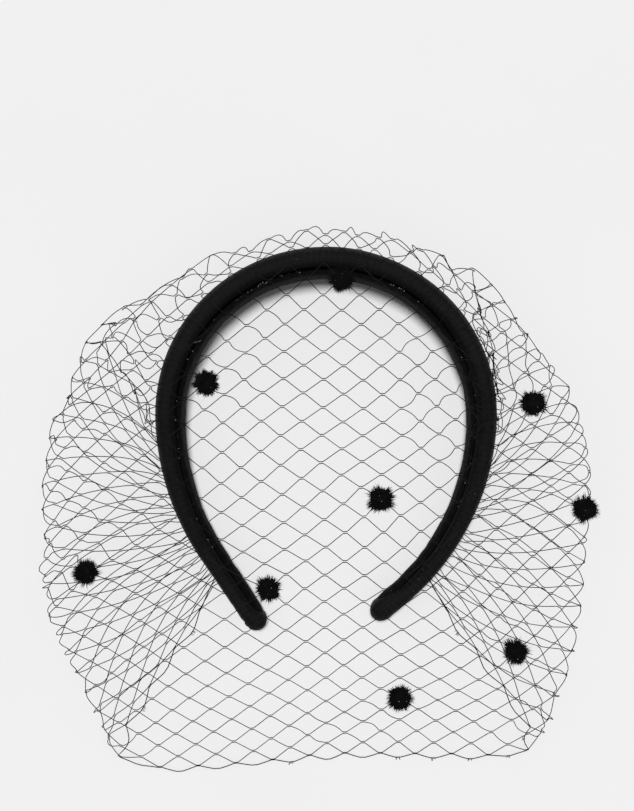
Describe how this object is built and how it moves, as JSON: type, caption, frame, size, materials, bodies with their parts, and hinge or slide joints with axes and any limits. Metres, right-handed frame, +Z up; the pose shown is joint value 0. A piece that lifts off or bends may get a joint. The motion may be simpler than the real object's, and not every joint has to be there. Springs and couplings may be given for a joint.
{
  "type": "veil headband",
  "caption": "Padded horseshoe headband with a lining strip and a gathered diamond-net veil that carries chenille dots, lying on its side edge.",
  "frame": {"origin": "under the middle of the whole part, on the surface that it lies on", "axes": "+Z up off the surface and across the width of the band, +Y towards the crown of the band, +X to the right seen from above"},
  "size_m": [0.2469, 0.2388, 0.0427],
  "materials": {
    "padded_cover": "matte black woven cloth over foam, faint bluish sheen",
    "lining_strip": "black ribbed ribbon, slightly glossier than the cover",
    "veil_net": "stiff black diamond netting",
    "chenille": "black chenille tufts with tiny glossy specks"
  },
  "bodies": {
    "root": {"padded_cover": "padded_cover", "lining_strip": "lining_strip", "veil": "veil_net", "chenille_dot_1": "chenille", "chenille_dot_2": "chenille", "chenille_dot_3": "chenille", "chenille_dot_4": "chenille", "chenille_dot_5": "chenille", "chenille_dot_6": "chenille", "chenille_dot_7": "chenille", "chenille_dot_8": "chenille", "chenille_dot_9": "chenille"}
  },
  "joints": []
}
